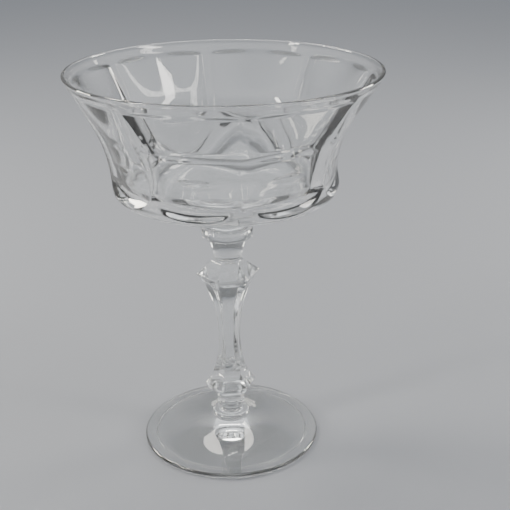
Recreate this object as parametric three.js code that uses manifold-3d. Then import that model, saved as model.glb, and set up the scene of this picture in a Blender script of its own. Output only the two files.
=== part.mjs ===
// A cut crystal coupe for champagne: a flared bowl with eight cut panels, on a
// six-sided baluster stem with a wide round foot. The real glass is made of
// separate gathers joined hot: the bowl, a small collar (merese) under it, the
// cut stem, a second merese, and the foot.
//
// Millimetres, +Z up. The origin is the centre of the plane the foot stands on.
import * as THREE from "three";
import { mergeVertices } from "three/addons/utils/BufferGeometryUtils.js";
import Module from "manifold-3d";

const wasm = await Module();
wasm.setup();

// Foot
const FOOT_RADIUS = 33;
const FOOT_EDGE_THICKNESS = 2;
const FOOT_HEIGHT = 7.5;
const FOOT_RING_WIDTH = 3.5; // flat ring it stands on, just inside the rounded edge
const FOOT_EDGE_ROUND = 0.9;
const FOOT_RECESS_DEPTH = 0.5; // hollow inside that ring
const FOOT_CENTRE_RADIUS = 7.2; // where the shallow cone of the foot ends under the merese

// Lower merese
const FOOT_MERESE_RADIUS = 7.1;
const FOOT_MERESE_HEIGHT = 4.5;
const FOOT_MERESE_EDGE = 2.6; // height of its rounded edge, below the concave flare

// Stem
const NECK_RADIUS = 3.7; // where the stem meets the lower merese
const BEAD_RADIUS = 5;
const BEAD_HEIGHT = 6; // neck and bead together
const BEAD_FULLEST = 0.4; // share of that height where the bead is fullest
const LOWER_KNOP_RADIUS = 9.5; // across the six corners, from the axis
const LOWER_KNOP_RISE = 4; // from the bead to the knop's corners
const WAIST_RADIUS = 4.05;
const WAIST_RISE = 19; // from the lower knop's corners to the waist
const UPPER_KNOP_RADIUS = 11.6;
const UPPER_KNOP_RISE = 26; // from the waist to the upper knop's corners
const WAIST_REACH = 0.6; // share of that rise along which the waist stays slender
const UPPER_TAPER_RISE = 5.5; // from the upper knop's corners to the cove
const TAPER_HOLLOW = { radius: 0.65, rise: 0.45 }; // of the knop's radius and of that rise
const COVE_RADIUS = 5.2;
const COVE_HEIGHT = 8;
const COVE_TOP_RADIUS = 7; // where the cove meets the upper merese
const STEM_SIDES = 6;
const STEM_TURN = 9; // degrees from +X to the first corner

// Upper merese
const BOWL_MERESE_RADIUS = 9.2;
const BOWL_MERESE_HEIGHT = 7;
const MERESE_GROOVE_DEPTH = 0.5;
const MERESE_GROOVE_PLACE = 0.55; // share of the height where the groove is
const MERESE_ROUND = 0.25; // share of the height taken by the rounding of an edge

// Bowl
const RIM_RADIUS = 54;
const RIM_THICKNESS = 1.2;
const BOWL_HEIGHT = 53.5;
const BOWL_SEAT_RADIUS = 9; // flat under the bowl, on the merese
const SHOULDER_RADIUS = 39.6; // where the wall stands upright
const SHOULDER_HEIGHT = 13.5; // top of the rounding between underside and wall
const UNDERSIDE_RADIUS = 34; // where the underside's shallow cone ends
const UNDERSIDE_RISE = 8.8;
const FLARE_RADIUS = 44.2; // where the wall opens into a straight flare
const FLARE_HEIGHT = 34;
const WALL_UPRIGHT = 0.73; // share of that height along which the wall stays nearly upright
const FLOOR_THICKNESS = 7.5; // in the middle of the bowl
const RIB_WALL = 4; // wall thickness at the ribs, below the flare
const PANEL_WALL = 2.4; // what the panel cuts leave of the wall
const PANEL_COUNT = 8;
const PANEL_TURN = 7.5; // degrees from +X to the first rib
const PANEL_BOTTOM = 6.5; // height of the rounded ends of the panels
const PANEL_TOP = 50;

// Heights of the joins between the gathers
const FOOT_MERESE_BASE = FOOT_HEIGHT;
const STEM_BASE = FOOT_MERESE_BASE + FOOT_MERESE_HEIGHT;
const LOWER_KNOP_Z = STEM_BASE + BEAD_HEIGHT + LOWER_KNOP_RISE;
const WAIST_Z = LOWER_KNOP_Z + WAIST_RISE;
const UPPER_KNOP_Z = WAIST_Z + UPPER_KNOP_RISE;
const COVE_BASE = UPPER_KNOP_Z + UPPER_TAPER_RISE;
const BOWL_MERESE_BASE = COVE_BASE + COVE_HEIGHT;
const BOWL_BASE = BOWL_MERESE_BASE + BOWL_MERESE_HEIGHT;
const RIM_Z = BOWL_BASE + BOWL_HEIGHT;

const BOWL_SEGMENTS = 48;
const FOOT_SEGMENTS = 48;
const MERESE_SEGMENTS = 32;
const STEM_SEGMENTS = 30;

const point = (radius, height) => new THREE.Vector2(radius, height);
const radians = THREE.MathUtils.degToRad;

// A solid of revolution about Z, from a profile that runs up its outside.
function turned(profile, segments, start = 0) {
  return new THREE.LatheGeometry(profile, segments, start).rotateX(Math.PI / 2);
}

// A quarter-round or other smooth stretch of a profile, without its first point.
function curved(from, through, to, steps) {
  return new THREE.QuadraticBezierCurve(from, through, to).getPoints(steps).slice(1);
}

// A circular arc of a profile, in degrees from straight out, without its first point.
function arc(radius, height, size, from, to, steps) {
  const circle = new THREE.EllipseCurve(radius, height, size, size, radians(from), radians(to), to < from);
  return circle.getPoints(steps).slice(1);
}

function toManifold(geometry) {
  const bare = geometry.clone();
  bare.deleteAttribute("normal");
  bare.deleteAttribute("uv");
  const merged = mergeVertices(bare, 1e-4);
  return new wasm.Manifold(new wasm.Mesh({
    numProp: 3,
    vertProperties: new Float32Array(merged.attributes.position.array),
    triVerts: new Uint32Array(merged.index.array),
  }));
}

function fromManifold(solid) {
  const mesh = solid.getMesh();
  const geometry = new THREE.BufferGeometry();
  geometry.setAttribute("position", new THREE.BufferAttribute(new Float32Array(mesh.vertProperties), 3));
  geometry.setIndex(new THREE.BufferAttribute(new Uint32Array(mesh.triVerts), 1));
  geometry.computeVertexNormals();
  return geometry;
}

// Clear crystal. Each piece has its own material.
function crystal(colour) {
  return new THREE.MeshStandardMaterial({
    color: colour, roughness: 0.04, metalness: 0, transparent: true, opacity: 0.35,
  });
}

// The foot: flat ring below, shallow hollow inside it, rounded edge, low cone on top.
function footGeometry() {
  const ringOuter = FOOT_RADIUS - FOOT_EDGE_ROUND;
  const ringInner = ringOuter - FOOT_RING_WIDTH;
  const hollow = ringInner - FOOT_RECESS_DEPTH;
  const edgeTop = point(ringOuter, FOOT_EDGE_THICKNESS);
  const profile = [
    point(0, FOOT_RECESS_DEPTH),
    point(hollow, FOOT_RECESS_DEPTH),
    point(ringInner, 0),
    point(ringOuter, 0),
    ...curved(point(ringOuter, 0), point(FOOT_RADIUS, 0), point(FOOT_RADIUS, FOOT_EDGE_ROUND), 3),
    ...curved(point(FOOT_RADIUS, FOOT_EDGE_ROUND), point(FOOT_RADIUS, FOOT_EDGE_THICKNESS), edgeTop, 3),
    ...curved(edgeTop, point((ringOuter + FOOT_CENTRE_RADIUS) / 2, FOOT_EDGE_THICKNESS + FOOT_EDGE_ROUND),
      point(FOOT_CENTRE_RADIUS, FOOT_HEIGHT), 6),
    point(0, FOOT_HEIGHT),
  ];
  return turned(profile, FOOT_SEGMENTS);
}

// The lower merese: a small disc with a round edge and a concave flare up to the neck.
function footMereseGeometry() {
  const edge = FOOT_MERESE_EDGE / 2;
  const base = FOOT_MERESE_BASE;
  const profile = [
    point(0, base),
    point(FOOT_MERESE_RADIUS - edge, base),
    ...arc(FOOT_MERESE_RADIUS - edge, base + edge, edge, -90, 90, 8),
    ...curved(point(FOOT_MERESE_RADIUS - edge, base + FOOT_MERESE_EDGE),
      point(NECK_RADIUS, base + FOOT_MERESE_EDGE), point(NECK_RADIUS, STEM_BASE), 4),
    point(0, STEM_BASE),
  ];
  return turned(profile, MERESE_SEGMENTS);
}

// The stem: a six-sided baluster between a round bead and a round cove.
function stemGeometry() {
  const beadMiddle = STEM_BASE + BEAD_HEIGHT * BEAD_FULLEST;
  const beadTop = STEM_BASE + BEAD_HEIGHT;
  const bead = turned([
    point(0, STEM_BASE),
    point(NECK_RADIUS, STEM_BASE),
    ...curved(point(NECK_RADIUS, STEM_BASE), point(BEAD_RADIUS, STEM_BASE), point(BEAD_RADIUS, beadMiddle), 5),
    ...curved(point(BEAD_RADIUS, beadMiddle), point(BEAD_RADIUS, beadTop),
      point(BEAD_RADIUS * 0.85, beadTop + 1), 4),
    point(0, beadTop + 1),
  ], STEM_SEGMENTS);
  const lowerFlat = point(BEAD_RADIUS, beadTop);
  const lowerCorner = point(LOWER_KNOP_RADIUS, LOWER_KNOP_Z);
  const waist = point(WAIST_RADIUS, WAIST_Z);
  const upperCorner = point(UPPER_KNOP_RADIUS, UPPER_KNOP_Z);
  const coveFoot = point(COVE_RADIUS, COVE_BASE);
  const taperHollow = point(
    UPPER_KNOP_RADIUS * TAPER_HOLLOW.radius, UPPER_KNOP_Z + UPPER_TAPER_RISE * TAPER_HOLLOW.rise);
  const baluster = turned([
    point(0, beadTop),
    lowerFlat,
    ...curved(lowerFlat, point(LOWER_KNOP_RADIUS * 0.9, beadTop + 1), lowerCorner, 4),
    ...curved(lowerCorner, point(WAIST_RADIUS, LOWER_KNOP_Z + WAIST_RISE / 3), waist, 9),
    ...curved(waist, point(WAIST_RADIUS, WAIST_Z + UPPER_KNOP_RISE * WAIST_REACH), upperCorner, 10),
    ...curved(upperCorner, taperHollow, coveFoot, 4),
    point(0, COVE_BASE),
  ], STEM_SIDES, radians(STEM_TURN + 90 - 360 / STEM_SIDES));
  const sunk = 2; // how far the cove starts inside the baluster, to join it
  const cove = turned([
    point(0, COVE_BASE - sunk),
    point(COVE_RADIUS * 0.8, COVE_BASE - sunk),
    point(COVE_RADIUS, COVE_BASE),
    ...curved(point(COVE_RADIUS, COVE_BASE), point(COVE_RADIUS, COVE_BASE + COVE_HEIGHT / 2),
      point(COVE_TOP_RADIUS, BOWL_MERESE_BASE), 6),
    point(0, BOWL_MERESE_BASE),
  ], STEM_SEGMENTS);
  return fromManifold(toManifold(bead).add(toManifold(baluster)).add(toManifold(cove)));
}

// The upper merese: a thick disc with a round edge and one groove turned round it.
function bowlMereseGeometry() {
  const grooveZ = BOWL_MERESE_BASE + BOWL_MERESE_HEIGHT * MERESE_GROOVE_PLACE;
  const round = BOWL_MERESE_HEIGHT * MERESE_ROUND;
  const edge = BOWL_MERESE_RADIUS;
  const groove = edge - MERESE_GROOVE_DEPTH;
  const profile = [
    point(0, BOWL_MERESE_BASE),
    point(edge - round, BOWL_MERESE_BASE),
    ...curved(point(edge - round, BOWL_MERESE_BASE), point(edge, BOWL_MERESE_BASE),
      point(edge, BOWL_MERESE_BASE + round), 4),
    point(edge, grooveZ - MERESE_GROOVE_DEPTH),
    point(groove, grooveZ),
    point(edge, grooveZ + MERESE_GROOVE_DEPTH),
    ...curved(point(edge, grooveZ + MERESE_GROOVE_DEPTH), point(edge, BOWL_BASE),
      point(edge - round, BOWL_BASE), 4),
    point(0, BOWL_BASE),
  ];
  return turned(profile, MERESE_SEGMENTS);
}

// The inside of the bowl above its floor, from the rim down to the floor's edge.
function bowlInside() {
  const rim = point(RIM_RADIUS - RIM_THICKNESS, RIM_Z - RIM_THICKNESS / 2);
  const flare = point(FLARE_RADIUS - RIB_WALL, BOWL_BASE + FLARE_HEIGHT);
  const wall = point(SHOULDER_RADIUS - RIB_WALL, BOWL_BASE + SHOULDER_HEIGHT + 2);
  const floor = point(UNDERSIDE_RADIUS - RIB_WALL, BOWL_BASE + FLOOR_THICKNESS + 1);
  return [
    ...curved(rim, point((rim.x + flare.x) / 2 - 0.3, (rim.y + flare.y) / 2), flare, 4),
    ...curved(flare, point(wall.x + 0.3, BOWL_BASE + (FLARE_HEIGHT + SHOULDER_HEIGHT) / 2), wall, 6),
    ...curved(wall, point(wall.x, floor.y), floor, 6),
  ];
}

// The bowl: a turned blank, then eight flat panels cut into its outside. Each
// cut leaves the same wall over the inside, so the ribs between the panels grow
// wider and fade out towards the rim, and the panels end in rounded bottoms.
function bowlGeometry() {
  const lip = RIM_THICKNESS / 2;
  const underside = point(UNDERSIDE_RADIUS, BOWL_BASE + UNDERSIDE_RISE);
  const shoulder = point(SHOULDER_RADIUS, BOWL_BASE + SHOULDER_HEIGHT);
  const flare = point(FLARE_RADIUS, BOWL_BASE + FLARE_HEIGHT);
  const inside = bowlInside();
  const blank = turned([
    point(0, BOWL_BASE),
    point(BOWL_SEAT_RADIUS, BOWL_BASE),
    underside,
    ...curved(underside, point(SHOULDER_RADIUS - 0.2, underside.y + 1.8), shoulder, 6),
    ...curved(shoulder, point(SHOULDER_RADIUS + 0.2, BOWL_BASE + FLARE_HEIGHT * WALL_UPRIGHT), flare, 6),
    point(RIM_RADIUS, RIM_Z - lip),
    ...arc(RIM_RADIUS - lip, RIM_Z - lip, lip, 0, 180, 4),
    ...inside,
    point(0, BOWL_BASE + FLOOR_THICKNESS),
  ], BOWL_SEGMENTS);

  const bottom = BOWL_BASE + PANEL_BOTTOM;
  const top = BOWL_BASE + PANEL_TOP;
  const kept = inside
    .filter((p) => p.y > BOWL_BASE + SHOULDER_HEIGHT && p.y < top)
    .map((p) => point(p.x + PANEL_WALL, p.y))
    .reverse();
  const clear = RIM_RADIUS * 1.2;
  const outline = new THREE.Shape([
    point(clear, bottom),
    point(SHOULDER_RADIUS, bottom),
    ...kept,
    point(RIM_RADIUS, top),
    point(clear, top),
  ]);
  const width = 2 * SHOULDER_RADIUS * Math.tan(Math.PI / PANEL_COUNT);
  const cutter = new THREE.ExtrudeGeometry(outline, { depth: width, bevelEnabled: false, steps: 1 })
    .translate(0, 0, -width / 2)
    .rotateX(Math.PI / 2);
  let solid = toManifold(blank);
  for (let i = 0; i < PANEL_COUNT; i += 1) {
    const turn = radians(PANEL_TURN + (i + 0.5) * (360 / PANEL_COUNT));
    solid = solid.subtract(toManifold(cutter.clone().rotateZ(turn)));
  }
  return fromManifold(solid);
}

const group = new THREE.Group();

function addPiece(name, geometry, colour) {
  const mesh = new THREE.Mesh(geometry, crystal(colour));
  mesh.name = name;
  group.add(mesh);
}

addPiece("foot", footGeometry(), 0xeef2f4);
addPiece("foot_merese", footMereseGeometry(), 0xe6ecef);
addPiece("stem", stemGeometry(), 0xedf1f3);
addPiece("bowl_merese", bowlMereseGeometry(), 0xe6ecef);
addPiece("bowl", bowlGeometry(), 0xf0f4f6);

export default group;
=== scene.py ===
"""A cut crystal champagne coupe, modelled and finished around its CAD frame.

Each gather of glass (foot, lower merese, stem, upper merese, bowl) is a turned
mesh whose flats and panels are then cut by one Geometry Nodes tree. The flat
discs where two gathers are fused carry a finish that light passes straight
through, because the real glass has no surface there.
"""

import math

import bpy
from mathutils import Matrix, Vector


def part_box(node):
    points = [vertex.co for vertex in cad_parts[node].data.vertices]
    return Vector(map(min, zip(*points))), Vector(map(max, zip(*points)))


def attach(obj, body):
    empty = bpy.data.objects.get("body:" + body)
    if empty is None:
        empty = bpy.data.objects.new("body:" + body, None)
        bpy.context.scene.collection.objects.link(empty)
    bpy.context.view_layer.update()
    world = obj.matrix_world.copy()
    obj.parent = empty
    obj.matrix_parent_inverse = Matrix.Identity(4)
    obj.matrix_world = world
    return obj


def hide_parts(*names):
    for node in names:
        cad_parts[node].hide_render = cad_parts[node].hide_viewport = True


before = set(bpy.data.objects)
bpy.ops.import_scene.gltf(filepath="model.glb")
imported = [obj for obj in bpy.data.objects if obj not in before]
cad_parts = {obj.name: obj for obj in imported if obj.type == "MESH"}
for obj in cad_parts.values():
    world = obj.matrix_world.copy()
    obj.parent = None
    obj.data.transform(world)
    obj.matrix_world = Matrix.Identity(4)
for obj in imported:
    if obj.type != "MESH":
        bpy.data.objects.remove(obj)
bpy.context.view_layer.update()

bl_info = {
    "name": "Crystal Coupe",
    "version": (1, 0, 0),
    "blender": (4, 5, 0),
    "location": "View3D > Sidebar > Coupe",
    "description": "Builds a cut crystal champagne coupe on its CAD frame",
    "category": "Add Mesh",
}

SAME = 1e-7  # metres: two places nearer than this are one
X, Z = 0, 2  # axes of a box

# What the cutting tree reads where a piece isn't cut
UNCUT = 1.0  # metres: a flat this far from the axis cuts nothing
NO_LENS = -100.0  # far below the 1 that marks the height of a lens cut
PLAIN_CUTS = {"flat": UNCUT, "reach": 1.0, "hollow": 0.0, "lens": NO_LENS}
NARROWEST = 0.01  # radians: the least reach of a panel

# Columns of vertices: all round a plain piece, and across each face of a cut one
FOOT_COLUMNS = 192
COLLAR_COLUMNS = 128
FACE_COLUMNS = 26
PANEL_COLUMNS = 36
CROWDING = 0.75  # how much closer together they are by the edges of a face

# Polished glass
WHEEL_RINGS = 9000.0  # radians of fine polishing rings in a metre of height
WHEEL_WANDER = 25.0  # radians by which those rings stray from level
WHEEL_DEPTH = 0.004  # their depth, beside that of the waves under them
WAVES = 75.0  # slow waves of the surface, in a metre
SPECKS = 14.0  # specks of dried water across one worn patch
UNWORN_HAZE = 0.25  # share of the haze that unworn glass has too

# The studio's soft boxes: place and size in metres, power in watts, and tint
SOFT_BOXES = {
    "key": ((-0.50, 0.30, 0.80), (0.18, 0.18), 6.0, (1.0, 0.94, 0.84)),
    "fill": ((0.65, -0.25, 0.60), (0.12, 0.50), 3.5, (1.0, 0.97, 0.92)),
    "back": ((0.10, 0.60, 0.95), (0.80, 0.12), 3.5, (1.0, 0.97, 0.90)),
    "strip": ((-0.60, -0.30, 0.40), (0.05, 0.50), 3.5, (1.0, 0.96, 0.88)),
    "left": ((-0.62, 0.20, 0.20), (0.20, 0.18), 5.5, (1.0, 0.95, 0.84)),
    "right": ((0.62, 0.25, 0.20), (0.20, 0.18), 5.5, (1.0, 0.96, 0.88)),
}
FLOOR_SIDES = 128
FLOOR_ROUGHNESS = 0.75
GRAIN_SHADE = 0.97  # the floor's darker grains beside its lighter ones
GRAIN_ROUGHNESS = 0.1  # what the lighter grains add to the roughness
SENSOR_WIDTH = 36.0  # millimetres
NEAREST = 0.01  # metres: what is nearer to the camera isn't shown


def edge(node, axis, top=True):
    """The greatest or least place of a CAD node along an axis, in metres."""
    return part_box(node)[1 if top else 0][axis]


# Where the gathers meet, from the CAD frame
FOOT_TOP = edge("foot", Z)
STEM_BASE = edge("stem", Z, top=False)
STEM_TOP = edge("stem", Z)
BOWL_BASE = edge("bowl", Z, top=False)
RIM_Z = edge("bowl", Z)
FOOT_RADIUS = edge("foot", X)
FOOT_MERESE_RADIUS = edge("foot_merese", X)
BOWL_MERESE_RADIUS = edge("bowl_merese", X)
RIM_RADIUS = edge("bowl", X)


def length(name, default, description):
    """A length property in metres."""
    return bpy.props.FloatProperty(
        name=name, description=description, default=default, min=0.0, unit="LENGTH", precision=5)


def angle(name, default, description):
    """An angle property, its default in degrees."""
    return bpy.props.FloatProperty(
        name=name, description=description, default=math.radians(default), subtype="ANGLE", unit="ROTATION")


def share(name, default, description):
    """A number from 0 to 1."""
    return bpy.props.FloatProperty(
        name=name, description=description, default=default, min=0.0, max=1.0, subtype="FACTOR")


def colour(name, default, description):
    """A linear colour without alpha."""
    return bpy.props.FloatVectorProperty(
        name=name, description=description, default=default, size=3, min=0.0, max=1.0, subtype="COLOR")


# ---------------------------------------------------------------- settings


class JointSettings(bpy.types.PropertyGroup):
    """Radii of the discs where two gathers are fused."""

    foot: length("Foot", 0.0058, "Where the foot's cone meets the lower merese")
    neck: length("Neck", 0.0037, "Joint between the lower merese and the stem")
    stem: length("Stem", 0.0070, "Joint between the stem and the upper merese")
    bowl: length("Bowl", 0.0076, "Joint between the upper merese and the bowl")


class FootSettings(bpy.types.PropertyGroup):
    """Sizes of the round foot."""

    edge_thickness: length("Edge thickness", 0.0020, "Thickness of the foot near its edge")
    edge_round: length("Edge round", 0.0009, "How far in the rounding of the edge reaches")
    ring_width: length("Ring width", 0.0035, "Width of the flat ring that the foot stands on")
    ring_lip: share("Ring lip", 0.15, "Height of the ring's inner edge, as a share of the recess")
    recess: length("Recess", 0.0005, "Depth of the hollow inside the ring")
    centre_radius: length("Centre radius", 0.0072, "Where the cone of the foot ends under the merese")
    fillet: length("Fillet", 0.0005, "Small round between the cone and the joint")


class MereseSettings(bpy.types.PropertyGroup):
    """Sizes of the two mereses."""

    lower_edge: length("Lower edge", 0.0026, "Height of the round edge of the lower merese")
    upper_round: length("Upper round", 0.00175, "Rounding of the upper merese's lower edge")
    groove: length("Groove", 0.0008, "Depth of the groove turned round the upper merese")
    groove_place: share("Groove place", 6 / 11, "How far up the upper merese its groove lies")


class StemSettings(bpy.types.PropertyGroup):
    """Sizes of the six-sided baluster stem."""

    sides: bpy.props.IntProperty(name="Sides", description="Number of cut faces", default=6, min=3)
    turn: angle("Turn", 9.0, "Angle from +X to the first corner")
    bead_radius: length("Bead radius", 0.0050, "Radius of the round bead under the lower knop")
    bead_top: length("Bead top", 0.0180, "Height of the top of the bead")
    bead_round: length("Bead round", 0.0004, "Rounding of the bead's upper edge")
    bead_fullest: share("Bead fullest", 0.4, "How far up the bead it reaches its full radius")
    lower_knop_radius: length("Lower knop radius", 0.0095, "Axis to the corners of the lower knop")
    lower_knop_z: length("Lower knop height", 0.0220, "Height of those corners")
    lower_knop_fullness: share("Lower knop fullness", 0.92, "How full the knop is under its corners")
    lower_flute_end: length("Lower flute end", 0.0262, "Height where the long flutes end in arcs")
    lower_bend: share("Lower bend", 1 / 3, "How far from the lower knop to the waist the stem bends")
    waist_radius: length("Waist radius", 0.00405, "Axis to the corners of the waist")
    waist_z: length("Waist height", 0.0410, "Height of the waist")
    upper_bend: share("Upper bend", 0.6, "How far from the waist to the upper knop the stem bends")
    upper_flute_end: length("Upper flute end", 0.0645, "Height where the flutes end under the upper knop")
    upper_knop_radius: length("Upper knop radius", 0.0116, "Axis to the corners of the upper knop")
    upper_knop_z: length("Upper knop height", 0.0670, "Height of those corners")
    taper_bend: share("Taper bend", 0.45, "How far from the upper knop to the cove the taper bends")
    taper_width: share("Taper width", 0.65, "Width there, as a share of the upper knop's")
    cove_base: length("Cove base", 0.0725, "Height where the faces end and the round cove begins")
    cove_radius: length("Cove radius", 0.0052, "Smallest radius of the cove")
    face_fade: length("Face fade", 0.0010, "Height over which the cut faces begin and end")
    flute_fade: length("Flute fade", 0.0006, "Height over which the flutes begin and end")
    flute_hollow: length("Flute hollow", 0.00028, "How far the middle of a flute lies below a flat")
    softness: length("Edge softness", 0.00016, "How far the polished edges are rounded over")


class BowlSettings(bpy.types.PropertyGroup):
    """Sizes of the bowl and its panels. A rise is a height over the bowl's lowest point."""

    panels: bpy.props.IntProperty(name="Panels", description="Number of cut panels", default=8, min=3)
    turn: angle("Turn", 7.5, "Angle from +X to the first rib")
    rim_thickness: length("Rim thickness", 0.0012, "Thickness of the fire-polished rim")
    fillet: length("Fillet", 0.0025, "Width of the small round beside the joint")
    fillet_bend: share("Fillet bend", 0.6, "How far across the small round it bends")
    fillet_rise: length("Fillet rise", 0.0007, "Rise of the small round")
    underside_radius: length("Underside radius", 0.0340, "Where the shallow underside ends")
    underside_rise: length("Underside rise", 0.0088, "Rise of the underside's edge")
    shoulder_radius: length("Shoulder radius", 0.0396, "Radius where the wall stands upright")
    shoulder_rise: length("Shoulder rise", 0.0135, "Rise where the wall stands upright")
    shoulder_bend: length("Shoulder bend", 0.0018, "Height over the underside's edge where it turns up")
    shoulder_lean: length("Shoulder lean", 0.0002, "How far the wall leans out past its upright place")
    flare_radius: length("Flare radius", 0.0442, "Radius where the straight flare begins")
    flare_rise: length("Flare rise", 0.0340, "Rise where the straight flare begins")
    flare_bend: share("Flare bend", 0.73, "How far up to the flare the wall bends outwards")
    floor: length("Floor", 0.0075, "Thickness of the bowl's floor in the middle")
    floor_radius: length("Floor radius", 0.0240, "Where the inside curves up from the floor")
    floor_dish: length("Floor dish", 0.0010, "Height of that place over the middle of the floor")
    corner_inset: length("Corner inset", 0.0013, "How far inside the wall the inner corner bends")
    corner_height: length("Corner height", 0.0012, "How far over the floor the inner corner bends")
    inner_wall_height: length("Inner wall height", 0.0060, "Height of the inner corner over the shoulder")
    inner_bow: length("Inner bow", 0.0003, "How far the inside bows away from straight lines")
    wall: length("Wall", 0.0040, "Wall thickness at the ribs below the flare")
    panel_bottom: length("Panel bottom", 0.0100, "Rise of the rounded ends of the panels")
    panel_round: length("Panel round", 0.0075, "Height of those rounded ends")
    panel_top: length("Panel top", 0.0512, "Rise where the panels fade out under the rim")
    panel_fade: length("Panel fade", 0.0030, "How far under its top a panel begins to fade")
    panel_wall: length("Panel wall", 0.0015, "Wall thickness that the panels leave")
    panel_depth: length("Panel depth", 0.0022, "Greatest depth of a panel's middle")
    rib_start: length("Rib start", 0.0040, "Height over the shoulder where the ribs begin to widen")
    rib_foot: length("Rib at its foot", 0.0005, "Half the width of a rib by the upright wall")
    rib_top: length("Rib at its top", 0.0014, "Half the width of a rib under the rim")
    lens_rise: length("Lens rise", 0.0250, "Rise of the small lens cut in each panel")
    lens_height: length("Lens height", 0.0011, "Half the height of a lens cut")
    lens_width: length("Lens width", 0.0140, "Width of a lens cut")
    lens_depth: length("Lens depth", 0.0004, "Depth of a lens cut")
    softness: length("Edge softness", 0.00014, "How far the polished edges are rounded over")


class CrystalSettings(bpy.types.PropertyGroup):
    """Finish of the lead crystal."""

    clear: colour("Clear", (0.985, 0.99, 0.99), "Colour of the clear crystal")
    thick: colour("Thick", (0.94, 0.955, 0.955), "Faint grey of the thick parts")
    uneven: share("Uneven", 0.4, "How much that grey varies from place to place")
    veil: colour("Veil", (0.86, 0.87, 0.88), "Colour of the fine haze on polished cuts")
    index: bpy.props.FloatProperty(
        name="Index", description="Index of refraction of lead crystal", default=1.54, min=1.0, max=2.0)
    polish: share("Polish", 0.012, "Roughness of polished glass")
    wear: share("Wear", 0.05, "Roughness that wear and dried water add")
    haze: share("Haze", 0.05, "Greatest strength of the haze")


class StageSettings(bpy.types.PropertyGroup):
    """Floor, light and camera."""

    floor: colour("Floor", (0.155, 0.162, 0.178), "Colour of the floor")
    floor_radius: length("Floor radius", 1.6, "Radius of the floor")
    floor_gap: length("Floor gap", 0.00015, "Air that keeps the polished foot off the floor")
    backdrop: colour("Backdrop", (0.94, 0.97, 1.0), "Colour of the studio's light")
    horizon_light: bpy.props.FloatProperty(
        name="Horizon light", description="Strength of the light at the horizon", default=0.2, min=0.0)
    dome_light: bpy.props.FloatProperty(
        name="Dome light", description="Strength of the light overhead", default=1.45, min=0.0)
    camera_distance: length("Camera distance", 0.3343, "Level distance from the glass's axis")
    camera_height: length("Camera height", 0.2092, "Height over the foot's base")
    camera_pan: angle("Camera pan", 1.68, "Turn to the right of the glass's axis")
    camera_pitch: angle("Camera pitch", 22.17, "Tilt downwards")
    camera_roll: angle("Camera roll", -0.62, "Roll about the line of sight")
    focal_length: bpy.props.FloatProperty(
        name="Focal length", description="In millimetres", default=70.59, min=1.0)


# ---------------------------------------------------------------- node graphs


class Wire:
    """One output socket. Arithmetic on it adds Math nodes to its graph."""

    def __init__(self, graph, socket):
        self.graph = graph
        self.socket = socket

    def __add__(self, other):
        return self.graph.maths("ADD", self, other)

    def __radd__(self, other):
        return self.graph.maths("ADD", other, self)

    def __sub__(self, other):
        return self.graph.maths("SUBTRACT", self, other)

    def __rsub__(self, other):
        return self.graph.maths("SUBTRACT", other, self)

    def __mul__(self, other):
        return self.graph.maths("MULTIPLY", self, other)

    def __rmul__(self, other):
        return self.graph.maths("MULTIPLY", other, self)

    def __truediv__(self, other):
        return self.graph.maths("DIVIDE", self, other)

    def __rtruediv__(self, other):
        return self.graph.maths("DIVIDE", other, self)

    def clamped(self):
        """This value, kept between 0 and 1."""
        return self.graph.maths("ADD", self, 0.0, use_clamp=True)


class Graph:
    """Builds a shader or geometry node tree."""

    def __init__(self, tree):
        self.tree = tree

    def node(self, kind, inputs=None, **settings):
        """Adds a node: its settings are set first, then values or wires go to its inputs."""
        node = self.tree.nodes.new(kind)
        for name, value in settings.items():
            setattr(node, name, value)
        for key, value in (inputs or {}).items():
            socket = node.inputs[key]
            if isinstance(value, Wire):
                self.tree.links.new(value.socket, socket)
            else:
                socket.default_value = value
        return node

    def wire(self, kind, output, inputs=None, **settings):
        """Adds a node and returns one of its outputs as a wire."""
        return Wire(self, self.node(kind, inputs, **settings).outputs[output])

    def maths(self, operation, *values, **settings):
        """Adds a Math node."""
        return self.wire("ShaderNodeMath", 0, dict(enumerate(values)), operation=operation, **settings)

    def blend(self, factor, first, second):
        """Adds a colour Mix node between two colours without alpha."""
        colours = {0: factor, 6: (*first, 1.0), 7: (*second, 1.0)}
        return self.wire("ShaderNodeMix", 2, colours, data_type="RGBA")


# ---------------------------------------------------------------- cutting tree


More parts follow.
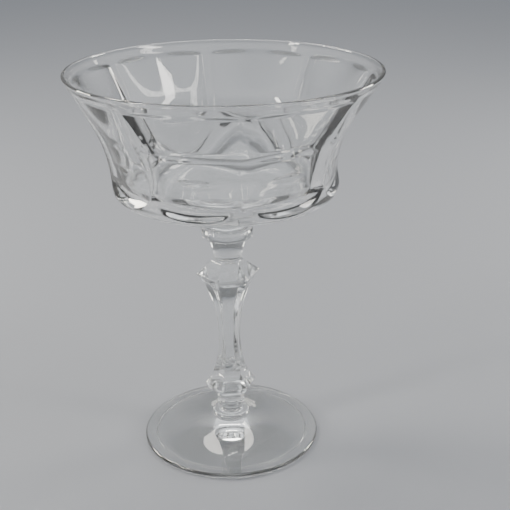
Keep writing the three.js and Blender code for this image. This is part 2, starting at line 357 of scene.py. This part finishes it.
def cutting_tree():
    """The tree that cuts flats into a turned mesh.

    The mesh says at each height how far its flats lie from the axis ("flat"), how far to each side
    they reach ("reach", an angle), how far their middles are hollowed ("hollow"), and how near the
    height is to that of the small lens cut in each middle ("lens", 1 at its height). Sides, Turn,
    Softness and the depth and width of the lens cuts are the same all over.
    """
    name = "Cut flats"
    if name in bpy.data.node_groups:
        return bpy.data.node_groups[name]
    tree = bpy.data.node_groups.new(name, "GeometryNodeTree")
    sockets = {
        "Geometry": "Geometry", "Sides": "Int", "Turn": "Float", "Softness": "Float",
        "Lens depth": "Float", "Lens reach": "Float", "Crystal": "Material", "Joint": "Material"}
    for label, kind in sockets.items():
        tree.interface.new_socket(label, in_out="INPUT", socket_type="NodeSocket" + kind)
    tree.interface.new_socket("Geometry", in_out="OUTPUT", socket_type="NodeSocketGeometry")

    graph = Graph(tree)
    group = graph.node("NodeGroupInput")

    def given(name):
        return Wire(graph, group.outputs[name])

    def stored(name, data_type="FLOAT"):
        return graph.wire(
            "GeometryNodeInputNamedAttribute", "Attribute", {"Name": name}, data_type=data_type)

    position = graph.wire("GeometryNodeInputPosition", "Position")
    parts = graph.node("ShaderNodeSeparateXYZ", {"Vector": position})
    x, y, z = (Wire(graph, parts.outputs[axis]) for axis in "XYZ")
    radius = graph.maths("SQRT", x * x + y * y)
    half = math.pi / given("Sides")
    bearing = graph.maths("ARCTAN2", y, x) - given("Turn") - half
    swing = graph.maths("WRAP", bearing, half, 0.0 - half)
    across = swing / stored("reach")
    inside = 1.0 - across * across
    limit = stored("flat") / graph.maths("COSINE", swing) - stored("hollow") * inside * inside
    panelled = graph.maths("SMOOTH_MIN", radius, limit, given("Softness"))
    beside = swing / given("Lens reach")
    cut = panelled - graph.maths("MAXIMUM", stored("lens") - beside * beside, 0.0) * given("Lens depth")
    scale = cut / radius
    moved = graph.wire("ShaderNodeCombineXYZ", "Vector", {"X": x * scale, "Y": y * scale, "Z": z})
    shaped = graph.wire("GeometryNodeSetPosition", "Geometry", {
        "Geometry": given("Geometry"), "Position": moved})
    real = graph.wire("GeometryNodeRealizeInstances", "Geometry", {"Geometry": shaped})
    crystal = graph.wire("GeometryNodeSetMaterial", "Geometry", {
        "Geometry": real, "Material": given("Crystal")})
    fused = graph.wire("GeometryNodeSetMaterial", "Geometry", {
        "Geometry": crystal, "Selection": stored("joint", "BOOLEAN"), "Material": given("Joint")})
    graph.node("NodeGroupOutput", {"Geometry": fused})
    return tree


# ---------------------------------------------------------------- turned meshes


class Outline:
    """A profile of (radius, height) points. A closed one runs from the axis round to the axis."""

    def __init__(self, radius, height):
        self.points = [(radius, height)]

    def line(self, radius, height, steps=1):
        """A straight stretch to the given point."""
        old_radius, old_height = self.points[-1]
        for i in range(1, steps + 1):
            t = i / steps
            self.points.append((old_radius * (1 - t) + radius * t, old_height * (1 - t) + height * t))
        return self

    def curve(self, through, end, steps):
        """A smooth stretch that leaves towards one point and arrives from it."""
        start = self.points[-1]
        for i in range(1, steps + 1):
            t = i / steps
            self.points.append(tuple(
                (1 - t) ** 2 * a + 2 * t * (1 - t) * b + t * t * c for a, b, c in zip(start, through, end)))
        return self

    def arc(self, centre, size, first, last, steps):
        """A circular arc about a centre, between two angles in degrees from straight out."""
        for i in range(1, steps + 1):
            turn = math.radians(first + (last - first) * i / steps)
            self.points.append((centre[0] + size * math.cos(turn), centre[1] + size * math.sin(turn)))
        return self

    def follow(self, other):
        """The same way as another profile, which starts where this one has come to."""
        self.points += other.points[1:]
        return self


def part_way(low, high, amount):
    """The value that lies a share of the way from low to high."""
    return low + (high - low) * amount


def at_height(points, height):
    """The radius of a rising profile at a height, or its end value outside it."""
    for (r0, z0), (r1, z1) in zip(points, points[1:]):
        if z0 <= height <= z1:
            return part_way(r0, r1, (height - z0) / max(z1 - z0, SAME))
    return points[0][0] if height < points[0][1] else points[-1][0]


def smooth_step(low, high, value):
    """0 below low, 1 above high, and a smooth rise between them."""
    t = min(max((value - low) / (high - low), 0.0), 1.0)
    return t * t * (3 - 2 * t)


def smooth_fall(low, high, value):
    """1 below low, 0 above high, and a smooth fall between them."""
    return smooth_step(-high, -low, -value)


def between(low, high, margin, value):
    """1 between low and high, with a smooth rise and fall inside them, and 0 outside."""
    return smooth_step(low, low + margin, value) * smooth_fall(high - margin, high, value)


def evenly(count):
    """The angles of a round mesh's columns."""
    return [2 * math.pi * i / count for i in range(count)]


def crowded(sides, per_side, start):
    """The angles of a faceted mesh's columns, closer together at the edges between its faces."""
    half = math.pi / sides
    angles = []
    for side in range(sides):
        for i in range(per_side):
            t = 2 * i / per_side - 1
            shift = CROWDING * math.sin(math.pi * t) / math.pi
            angles.append(start + half * (2 * side + 1 + t + shift))
    return angles


def turned_mesh(name, outline, columns, joints, **cuts):
    """A closed turned mesh from an outline, with what the cutting tree reads from it.

    joints lists the (radius, height) of the fused discs at its ends, and cuts holds functions of
    radius and height for the attributes of the cutting tree.
    """
    points = outline.points
    segments = len(columns)
    vertices = [
        (radius * math.cos(turn), radius * math.sin(turn), height)
        for radius, height in points[1:-1] for turn in columns]
    below, above = len(vertices), len(vertices) + 1
    vertices += [(0.0, 0.0, points[0][1]), (0.0, 0.0, points[-1][1])]

    def is_joint(*stretch):
        return any(
            all(abs(z - height) < SAME and r <= radius + SAME for r, z in stretch)
            for radius, height in joints)

    rings = len(points) - 2
    faces, fused = [], []
    for ring in range(rings + 1):
        joint = is_joint(points[ring], points[ring + 1])
        for i in range(segments):
            j = (i + 1) % segments
            low, high = (ring - 1) * segments, ring * segments
            if ring == 0:
                faces.append((below, j, i))
            elif ring == rings:
                faces.append((low + i, low + j, above))
            else:
                faces.append((low + i, low + j, high + j, high + i))
            fused.append(joint)

    mesh = bpy.data.meshes.new(name)
    mesh.from_pydata(vertices, [], faces)
    mesh.polygons.foreach_set("use_smooth", [True] * len(faces))
    for attribute, plain in PLAIN_CUTS.items():
        at = cuts.get(attribute, lambda radius, height, value=plain: value)
        along = [at(*point) for point in points[1:-1]]
        values = [value for value in along for _ in range(segments)] + [plain, plain]
        mesh.attributes.new(attribute, "FLOAT", "POINT").data.foreach_set("value", values)
    mesh.attributes.new("joint", "BOOLEAN", "FACE").data.foreach_set("value", fused)
    piece = bpy.data.objects.new(name, mesh)
    bpy.context.scene.collection.objects.link(piece)
    return piece


def cut_and_finish(piece, node, crystal, sides=6, turn=0.0, softness=0.0, lens=(0.0, 1.0)):
    """Cuts the flats, makes the result a plain mesh, and puts the piece in the place of its CAD node.

    A piece with no flats needs no more than its finish. lens is the depth of the lens cuts and the
    angle that they reach to each side.
    """
    tree = cutting_tree()
    cutter = piece.modifiers.new(tree.name, "NODES")
    cutter.node_group = tree
    values = {
        "Sides": sides, "Turn": turn, "Softness": softness, "Lens depth": lens[0], "Lens reach": lens[1],
        "Crystal": crystal, "Joint": fused_joint()}
    for item in tree.interface.items_tree:
        if item.in_out == "INPUT" and item.name in values:
            cutter[item.identifier] = values[item.name]
    graph = bpy.context.evaluated_depsgraph_get()
    finished = bpy.data.meshes.new_from_object(piece.evaluated_get(graph))
    piece.modifiers.clear()
    rough = piece.data
    piece.data = finished
    bpy.data.meshes.remove(rough)
    finished.name = piece.name
    for name in (*PLAIN_CUTS, "joint"):
        finished.attributes.remove(finished.attributes[name])
    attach(piece, "root")
    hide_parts(node)


# ---------------------------------------------------------------- finishes


def new_material(name):
    """An empty node material and its graph."""
    material = bpy.data.materials.new(name)
    material.use_nodes = True
    material.node_tree.nodes.clear()
    return material, Graph(material.node_tree)


def noise(graph, place, scale, detail, roughness=0.5):
    """A cloudy pattern from 0 to 1."""
    return graph.wire("ShaderNodeTexNoise", "Fac", {
        "Vector": place, "Scale": scale, "Detail": detail, "Roughness": roughness})


def above(wire, level, steepness):
    """0 where a value is under a level, and rising to 1 over it."""
    return ((wire - level) * steepness).clamped()


def fused_joint():
    """The finish of the discs where two gathers are fused: light goes straight through."""
    name = "Fused joint"
    if name in bpy.data.materials:
        return bpy.data.materials[name]
    material, graph = new_material(name)
    shader = graph.wire("ShaderNodeBsdfTransparent", "BSDF")
    graph.node("ShaderNodeOutputMaterial", {"Surface": shader})
    return material


def crystal_finish(name, thickness, wear_scale, ripple):
    """Clear lead crystal: faint grey where it is thick, fine polishing marks, and a thin haze.

    thickness is from 0, clear, to 1, the full grey. wear_scale sets the size of the worn patches
    in marks per metre, and ripple the depth of the waviness that polishing leaves, in metres.
    """
    finish = bpy.context.scene.coupe_crystal
    material, graph = new_material(name)
    place = graph.wire("ShaderNodeTexCoord", "Object")
    parts = graph.node("ShaderNodeSeparateXYZ", {"Vector": place})
    height = Wire(graph, parts.outputs["Z"])
    patches = noise(graph, place, wear_scale, detail=4.0, roughness=0.6)
    specks = noise(graph, place, wear_scale * SPECKS, detail=3.0, roughness=0.7)
    worn = above(patches, level=0.5, steepness=4.0)
    dusty = above(specks, level=0.62, steepness=6.0)
    grey = ((patches - 0.5) * finish.uneven + thickness).clamped()

    waves = noise(graph, place, WAVES, detail=1.0, roughness=0.4)
    rings = graph.maths("SINE", height * WHEEL_RINGS + patches * WHEEL_WANDER)
    surface = graph.wire("ShaderNodeBump", "Normal", {
        "Height": waves + rings * WHEEL_DEPTH, "Strength": 0.5, "Distance": ripple})
    glass = graph.wire("ShaderNodeBsdfPrincipled", "BSDF", {
        "Base Color": graph.blend(grey, finish.clear, finish.thick),
        "Roughness": finish.polish + (worn / 2 + dusty) * finish.wear,
        "IOR": finish.index,
        "Transmission Weight": 1.0,
        "Normal": surface,
    })
    veil = graph.wire("ShaderNodeBsdfPrincipled", "BSDF", {
        "Base Color": (*finish.veil, 1.0), "Roughness": 0.55, "Normal": surface})
    mixed = graph.wire("ShaderNodeMixShader", "Shader", {
        "Fac": (UNWORN_HAZE + (worn + dusty) / 2) * finish.haze, 1: glass, 2: veil})
    graph.node("ShaderNodeOutputMaterial", {"Surface": mixed})
    return material


def stem_crystal():
    """The crystal of the stem and both mereses."""
    name = "Cut stem crystal"
    made = bpy.data.materials.get(name)
    return made or crystal_finish(name, thickness=0.7, wear_scale=90.0, ripple=0.00006)


# ---------------------------------------------------------------- foot


def foot_outline(foot, joint):
    """The foot: a hollowed underside, the ring that it stands on, a thin edge and a low cone."""
    ring_outer = FOOT_RADIUS - foot.edge_round
    ring_inner = ring_outer - foot.ring_width
    ring_edge = (ring_inner, foot.recess * foot.ring_lip)
    slope_middle = (ring_outer + foot.centre_radius) / 2
    return (
        Outline(0.0, foot.recess)
        .line(ring_inner - 2 * foot.recess, foot.recess, steps=16)
        .curve((ring_inner - foot.recess / 2, foot.recess), ring_edge, steps=6)
        .curve((ring_inner + foot.recess / 2, 0.0), (ring_inner + foot.recess, 0.0), steps=4)
        .line(ring_outer, 0.0, steps=4)
        .curve((FOOT_RADIUS, 0.0), (FOOT_RADIUS, foot.edge_round), steps=8)
        .curve((FOOT_RADIUS, foot.edge_thickness), (ring_outer, foot.edge_thickness), steps=8)
        .curve(
            (slope_middle, foot.edge_thickness + foot.edge_round),
            (foot.centre_radius, FOOT_TOP - foot.fillet), steps=28)
        .curve((joint + foot.fillet, FOOT_TOP - foot.fillet / 3), (joint, FOOT_TOP), steps=5)
        .line(0.0, FOOT_TOP, steps=4)
    )


class COUPE_OT_foot(bpy.types.Operator):
    """Make the round foot"""

    bl_idname = "coupe.foot"
    bl_label = "Foot"

    def execute(self, context):
        joint = context.scene.coupe_joints.foot
        outline = foot_outline(context.scene.coupe_foot, joint)
        crystal = crystal_finish("Foot crystal", thickness=0.2, wear_scale=45.0, ripple=0.00005)
        piece = turned_mesh("foot_disc", outline, evenly(FOOT_COLUMNS), [(joint, FOOT_TOP)])
        cut_and_finish(piece, "foot", crystal)
        return {"FINISHED"}


# ---------------------------------------------------------------- mereses


def lower_merese_outline(merese, corner, neck):
    """The small collar on the foot: a round edge, and a cove up to the neck of the stem."""
    edge_round = merese.lower_edge / 2
    return (
        Outline(0.0, FOOT_TOP)
        .line(corner, FOOT_TOP, steps=4)
        .arc((corner, FOOT_TOP + edge_round), edge_round, -90, 90, steps=20)
        .curve((neck, FOOT_TOP + merese.lower_edge), (neck, STEM_BASE), steps=16)
        .line(0.0, STEM_BASE, steps=3)
    )


def upper_merese_outline(merese, joints):
    """The thick disc under the bowl, with a groove turned round it and a dome above."""
    edge_radius = BOWL_MERESE_RADIUS
    groove_z = part_way(STEM_TOP, BOWL_BASE, merese.groove_place)
    return (
        Outline(0.0, STEM_TOP)
        .line(joints.stem, STEM_TOP, steps=4)
        .line(edge_radius - merese.upper_round, STEM_TOP, steps=2)
        .curve((edge_radius, STEM_TOP), (edge_radius, STEM_TOP + merese.upper_round), steps=10)
        .line(edge_radius, groove_z - merese.groove, steps=3)
        .curve((edge_radius - merese.groove, groove_z), (edge_radius, groove_z + merese.groove), steps=10)
        .curve((edge_radius, BOWL_BASE), (joints.bowl, BOWL_BASE), steps=14)
        .line(0.0, BOWL_BASE, steps=4)
    )


class COUPE_OT_lower_merese(bpy.types.Operator):
    """Make the small collar between the foot and the stem"""

    bl_idname = "coupe.lower_merese"
    bl_label = "Lower merese"

    def execute(self, context):
        merese = context.scene.coupe_mereses
        neck = context.scene.coupe_joints.neck
        corner = FOOT_MERESE_RADIUS - merese.lower_edge / 2
        outline = lower_merese_outline(merese, corner, neck)
        fused = [(corner, FOOT_TOP), (neck, STEM_BASE)]
        piece = turned_mesh("foot_collar", outline, evenly(COLLAR_COLUMNS), fused)
        cut_and_finish(piece, "foot_merese", stem_crystal())
        return {"FINISHED"}


class COUPE_OT_upper_merese(bpy.types.Operator):
    """Make the thick grooved disc between the stem and the bowl"""

    bl_idname = "coupe.upper_merese"
    bl_label = "Upper merese"

    def execute(self, context):
        joints = context.scene.coupe_joints
        outline = upper_merese_outline(context.scene.coupe_mereses, joints)
        fused = [(joints.stem, STEM_TOP), (joints.bowl, BOWL_BASE)]
        piece = turned_mesh("bowl_collar", outline, evenly(COLLAR_COLUMNS), fused)
        cut_and_finish(piece, "bowl_merese", stem_crystal())
        return {"FINISHED"}


# ---------------------------------------------------------------- stem


def stem_side(stem, joints):
    """The side of the stem, from the neck up: bead, lower knop, waist, upper knop, taper and cove."""
    bead_z = part_way(STEM_BASE, stem.bead_top, stem.bead_fullest)
    lower_bend_z = part_way(stem.lower_knop_z, stem.waist_z, stem.lower_bend)
    upper_bend_z = part_way(stem.waist_z, stem.upper_knop_z, stem.upper_bend)
    ledge = (stem.bead_radius + 2 * stem.bead_round, stem.bead_top + stem.bead_round / 2)
    knop_under = (stem.lower_knop_radius * stem.lower_knop_fullness, stem.bead_top + stem.face_fade)
    lower_knop = (stem.lower_knop_radius, stem.lower_knop_z)
    upper_knop = (stem.upper_knop_radius, stem.upper_knop_z)
    taper_bend = (
        stem.upper_knop_radius * stem.taper_width,
        part_way(stem.upper_knop_z, stem.cove_base, stem.taper_bend))
    return (
        Outline(joints.neck, STEM_BASE)
        .curve((stem.bead_radius, STEM_BASE), (stem.bead_radius, bead_z), steps=12)
        .line(stem.bead_radius, stem.bead_top - stem.bead_round, steps=8)
        .curve((stem.bead_radius, stem.bead_top), ledge, steps=5)
        .curve(knop_under, lower_knop, steps=20)
        .curve((stem.waist_radius, lower_bend_z), (stem.waist_radius, stem.waist_z), steps=60)
        .curve((stem.waist_radius, upper_bend_z), upper_knop, steps=80)
        .curve(taper_bend, (stem.cove_radius, stem.cove_base), steps=24)
        .curve((stem.cove_radius, (stem.cove_base + STEM_TOP) / 2), (joints.stem, STEM_TOP), steps=30)
    )


class COUPE_OT_stem(bpy.types.Operator):
    """Make the six-sided baluster stem with its bead and cove"""

    bl_idname = "coupe.stem"
    bl_label = "Stem"

    def execute(self, context):
        stem = context.scene.coupe_stem
        joints = context.scene.coupe_joints
        side = stem_side(stem, joints)
        outline = (
            Outline(0.0, STEM_BASE)
            .line(joints.neck, STEM_BASE, steps=3)
            .follow(side)
            .line(0.0, STEM_TOP, steps=4)
        )
        half = math.pi / stem.sides

        def flat_at(radius, z):
            """Axis to the middle of a face, where the faces are."""
            faceted = between(stem.bead_top, stem.cove_base, stem.face_fade, z)
            return at_height(side.points, z) * part_way(1, math.cos(half), faceted) if faceted else UNCUT

        def hollow_at(radius, z):
            """How deep the flutes are."""
            fluted = between(stem.lower_flute_end, stem.upper_flute_end, stem.flute_fade, z)
            return stem.flute_hollow * fluted

        def reach_at(radius, z):
            """A face reaches from edge to edge."""
            return half

        piece = turned_mesh(
            "cut_stem", outline, crowded(stem.sides, FACE_COLUMNS, stem.turn),
            [(joints.neck, STEM_BASE), (joints.stem, STEM_TOP)],
            flat=flat_at, hollow=hollow_at, reach=reach_at)
        cut_and_finish(piece, "stem", stem_crystal(), stem.sides, stem.turn, stem.softness)
        return {"FINISHED"}


# ---------------------------------------------------------------- bowl


class BowlShape:
    """The bowl's profile, and where its panels and lens cuts lie in it."""

    def __init__(self, bowl, joint):
        self.bowl = bowl
        self.joint = joint
        self.half = math.pi / bowl.panels
        self.panel_foot = BOWL_BASE + bowl.panel_bottom
        self.panel_top = BOWL_BASE + bowl.panel_top
        self.lip_z = RIM_Z - bowl.rim_thickness / 2
        self.underside = (bowl.underside_radius, BOWL_BASE + bowl.underside_rise)
        self.shoulder = (bowl.shoulder_radius, BOWL_BASE + bowl.shoulder_rise)
        self.flare = (bowl.flare_radius, BOWL_BASE + bowl.flare_rise)
        self.inner_rim = (RIM_RADIUS - bowl.rim_thickness, self.lip_z)
        self.inner_flare = (bowl.flare_radius - bowl.wall, self.flare[1])
        self.inner_corner = (
            bowl.shoulder_radius - bowl.wall + bowl.inner_bow, self.shoulder[1] + bowl.inner_wall_height)
        self.inner_line = [self.inner_corner, self.inner_flare, self.inner_rim]
        self.side = self.outer_side()

    def outer_side(self):
        """The outside, from the joint up to the lip."""
        bowl = self.bowl
        fillet_bend = (self.joint + bowl.fillet * bowl.fillet_bend, BOWL_BASE)
        underside_start = (self.joint + bowl.fillet, BOWL_BASE + bowl.fillet_rise)
        shoulder_bend = (bowl.shoulder_radius - bowl.shoulder_lean, self.underside[1] + bowl.shoulder_bend)
        flare_bend_z = BOWL_BASE + bowl.flare_rise * bowl.flare_bend
        flare_bend = (bowl.shoulder_radius + bowl.shoulder_lean, flare_bend_z)
        return (
            Outline(self.joint, BOWL_BASE)
            .curve(fillet_bend, underside_start, steps=6)
            .line(*self.underside, steps=16)
            .curve(shoulder_bend, self.shoulder, steps=24)
            .curve(flare_bend, self.flare, steps=48)
            .line(RIM_RADIUS, self.lip_z, steps=52)
        )

    def outline(self):
        """The closed profile: up the outside, over the lip and down the inside."""
        bowl = self.bowl
        lip = bowl.rim_thickness / 2
        floor_edge = (bowl.floor_radius, BOWL_BASE + bowl.floor + bowl.floor_dish)
        upper_bend = (
            (self.inner_rim[0] + self.inner_flare[0]) / 2 - bowl.inner_bow,
            (self.inner_rim[1] + self.inner_flare[1]) / 2)
        lower_bend = (self.inner_corner[0] + bowl.inner_bow, (self.flare[1] + self.shoulder[1]) / 2)
        corner_bend = (self.inner_corner[0] - bowl.corner_inset, floor_edge[1] + bowl.corner_height)
        return (
            Outline(0.0, BOWL_BASE)
            .line(self.joint, BOWL_BASE, steps=4)
            .follow(self.side)
            .arc((RIM_RADIUS - lip, self.lip_z), lip, 0, 180, steps=12)
            .curve(upper_bend, self.inner_flare, steps=18)
            .curve(lower_bend, self.inner_corner, steps=18)
            .curve(corner_bend, floor_edge, steps=28)
            .line(0.0, BOWL_BASE + bowl.floor, steps=10)
        )

    def rib(self, z):
        """Half the width of a rib."""
        start = self.shoulder[1] + self.bowl.rib_start
        return part_way(self.bowl.rib_foot, self.bowl.rib_top, smooth_step(start, self.panel_top, z))

    def reach(self, radius, z):
        """How far to each side a panel reaches, as an angle: it ends in a round below."""
        drop = max(self.panel_foot + self.bowl.panel_round - z, 0.0) / self.bowl.panel_round
        full = self.half - self.rib(z) / at_height(self.side.points, z)
        return max(full * math.sqrt(max(1 - drop ** 2, 0.0)), NARROWEST)

    def fade(self, z):
        """1 along a panel, falling to 0 at its two ends."""
        rise = smooth_step(self.panel_foot, self.panel_foot + self.bowl.panel_round, z)
        return rise * smooth_fall(self.panel_top - self.bowl.panel_fade, self.panel_top, z)

    def depth(self, z):
        """How deep the middle of a panel lies, so that it leaves an even wall."""
        thickness = at_height(self.side.points, z) - at_height(self.inner_line, z)
        spare = max(thickness - self.bowl.panel_wall, 0.0)
        return min(spare, self.bowl.panel_depth) * self.fade(z)

    def is_cut(self, radius, z):
        """Whether a point lies on the outside, between the ends of the panels."""
        outside = radius > at_height(self.side.points, z) - self.bowl.panel_wall / 2
        return outside and self.panel_foot < z < self.panel_top

    def flat(self, radius, z):
        """Axis to the flat that joins the two edges of a panel."""
        sagitta = radius * (1 - math.cos(self.reach(radius, z)))
        return radius - sagitta * self.fade(z) if self.is_cut(radius, z) else UNCUT

    def hollow(self, radius, z):
        """How far the middle of a panel lies below that flat, and less than 0 where it bulges."""
        return self.flat(radius, z) - radius + self.depth(z) if self.is_cut(radius, z) else 0.0

    def lens(self, radius, z):
        """1 at the height of the lens cuts, and 0 at their upper and lower ends."""
        near = 1 - ((z - BOWL_BASE - self.bowl.lens_rise) / self.bowl.lens_height) ** 2
        return near if self.is_cut(radius, z) else NO_LENS


class COUPE_OT_bowl(bpy.types.Operator):
    """Make the flared bowl with its cut panels"""

    bl_idname = "coupe.bowl"
    bl_label = "Bowl"

    def execute(self, context):
        bowl = context.scene.coupe_bowl
        joint = context.scene.coupe_joints.bowl
        shape = BowlShape(bowl, joint)
        piece = turned_mesh(
            "cut_bowl", shape.outline(), crowded(bowl.panels, PANEL_COLUMNS, bowl.turn),
            [(joint, BOWL_BASE)],
            flat=shape.flat, hollow=shape.hollow, reach=shape.reach, lens=shape.lens)
        crystal = crystal_finish("Cut bowl crystal", thickness=0.1, wear_scale=30.0, ripple=0.00004)
        lens = (bowl.lens_depth, bowl.lens_width / 2 / bowl.flare_radius)
        cut_and_finish(piece, "bowl", crystal, bowl.panels, bowl.turn, bowl.softness, lens)
        return {"FINISHED"}


# ---------------------------------------------------------------- stage


def soft_light(name, place, target, size, power, tint):
    """A soft box that points at a target."""
    light = bpy.data.lights.new(name, "AREA")
    light.shape = "RECTANGLE"
    light.size, light.size_y = size
    light.energy = power
    light.color = tint
    lamp = bpy.data.objects.new(name, light)
    lamp.location = place
    lamp.rotation_euler = (Vector(target) - Vector(place)).to_track_quat("-Z", "Y").to_euler()
    bpy.context.scene.collection.objects.link(lamp)


def floor_finish(tint):
    """Plain pale floor with a faint fine grain."""
    material, graph = new_material("Pale floor")
    place = graph.wire("ShaderNodeTexCoord", "Object")
    grain = noise(graph, place, scale=220.0, detail=3.0)
    shade = graph.blend(grain, [part * GRAIN_SHADE for part in tint], tint)
    shader = graph.wire("ShaderNodeBsdfPrincipled", "BSDF", {
        "Base Color": shade, "Roughness": FLOOR_ROUGHNESS + grain * GRAIN_ROUGHNESS})
    graph.node("ShaderNodeOutputMaterial", {"Surface": shader})
    return material


def round_floor(stage):
    """A wide disc just under the foot."""
    mesh = bpy.data.meshes.new("floor")
    edge_points = [
        (stage.floor_radius * math.cos(turn), stage.floor_radius * math.sin(turn), -stage.floor_gap)
        for turn in evenly(FLOOR_SIDES)]
    mesh.from_pydata(edge_points, [], [tuple(range(FLOOR_SIDES))])
    mesh.materials.append(floor_finish(stage.floor))
    floor = bpy.data.objects.new("floor", mesh)
    bpy.context.scene.collection.objects.link(floor)


def studio_backdrop(tint, low, high):
    """A soft dome: dim along the horizon and bright overhead."""
    world = bpy.data.worlds.new("Studio")
    world.use_nodes = True
    world.node_tree.nodes.clear()
    graph = Graph(world.node_tree)
    parts = graph.node("ShaderNodeSeparateXYZ", {"Vector": graph.wire("ShaderNodeTexCoord", "Generated")})
    rise = graph.wire("ShaderNodeMapRange", "Result", {
        "Value": Wire(graph, parts.outputs["Z"]), "From Min": 0.15, "From Max": 0.75,
        "To Min": low, "To Max": high}, interpolation_type="SMOOTHSTEP")
    light = graph.wire("ShaderNodeBackground", "Background", {"Color": (*tint, 1.0), "Strength": rise})
    graph.node("ShaderNodeOutputWorld", {"Surface": light})
    bpy.context.scene.world = world


def camera_turn(pan, pitch, roll):
    """The turn of a camera that looks along +Y, then pans right, tilts down and rolls."""
    level_ahead = Vector((math.sin(pan), math.cos(pan), 0.0))
    forward = level_ahead * math.cos(pitch) - Vector((0.0, 0.0, math.sin(pitch)))
    level = forward.cross(Vector((0.0, 0.0, 1.0))).normalized()
    upright = level.cross(forward)
    right = math.cos(roll) * level + math.sin(roll) * upright
    up = math.cos(roll) * upright - math.sin(roll) * level
    return Matrix((right, up, -forward)).transposed().to_4x4()


def place_camera(stage):
    """The camera, in front of the glass and above it."""
    lens = bpy.data.cameras.new("camera")
    lens.lens = stage.focal_length
    lens.sensor_width = SENSOR_WIDTH
    lens.clip_start = NEAREST
    camera = bpy.data.objects.new("camera", lens)
    place = Matrix.Translation((0.0, -stage.camera_distance, stage.camera_height))
    camera.matrix_world = place @ camera_turn(stage.camera_pan, stage.camera_pitch, stage.camera_roll)
    bpy.context.scene.collection.objects.link(camera)
    bpy.context.scene.camera = camera


class COUPE_OT_stage(bpy.types.Operator):
    """Make the floor, the studio light and the camera"""

    bl_idname = "coupe.stage"
    bl_label = "Stage"

    def execute(self, context):
        stage = context.scene.coupe_stage
        round_floor(stage)
        middle = (0.0, 0.0, RIM_Z / 2)
        for name, (place, size, power, tint) in SOFT_BOXES.items():
            soft_light(name, place, middle, size, power, tint)
        studio_backdrop(stage.backdrop, stage.horizon_light, stage.dome_light)
        place_camera(stage)
        return {"FINISHED"}


# ---------------------------------------------------------------- add-on


OPERATORS = (
    COUPE_OT_foot,
    COUPE_OT_lower_merese,
    COUPE_OT_stem,
    COUPE_OT_upper_merese,
    COUPE_OT_bowl,
    COUPE_OT_stage,
)
SETTINGS = {
    "coupe_joints": JointSettings,
    "coupe_foot": FootSettings,
    "coupe_mereses": MereseSettings,
    "coupe_stem": StemSettings,
    "coupe_bowl": BowlSettings,
    "coupe_crystal": CrystalSettings,
    "coupe_stage": StageSettings,
}


class COUPE_PT_panel(bpy.types.Panel):
    """Lists the steps that build the coupe"""

    bl_idname = "COUPE_PT_panel"
    bl_label = "Crystal Coupe"
    bl_space_type = "VIEW_3D"
    bl_region_type = "UI"
    bl_category = "Coupe"

    def draw(self, context):
        for step in OPERATORS:
            self.layout.operator(step.bl_idname)
        for name, settings in SETTINGS.items():
            box = self.layout.box()
            box.label(text=settings.__doc__)
            for setting in settings.__annotations__:
                box.prop(getattr(context.scene, name), setting)


CLASSES = (*SETTINGS.values(), *OPERATORS, COUPE_PT_panel)


def register():
    for item in CLASSES:
        bpy.utils.register_class(item)
    for name, settings in SETTINGS.items():
        setattr(bpy.types.Scene, name, bpy.props.PointerProperty(type=settings))


def unregister():
    for name in SETTINGS:
        delattr(bpy.types.Scene, name)
    for item in reversed(CLASSES):
        bpy.utils.unregister_class(item)


def main():
    """Builds the coupe and its stage."""
    register()
    bpy.ops.coupe.foot()
    bpy.ops.coupe.lower_merese()
    bpy.ops.coupe.stem()
    bpy.ops.coupe.upper_merese()
    bpy.ops.coupe.bowl()
    bpy.ops.coupe.stage()


if __name__ == "__main__":
    main()
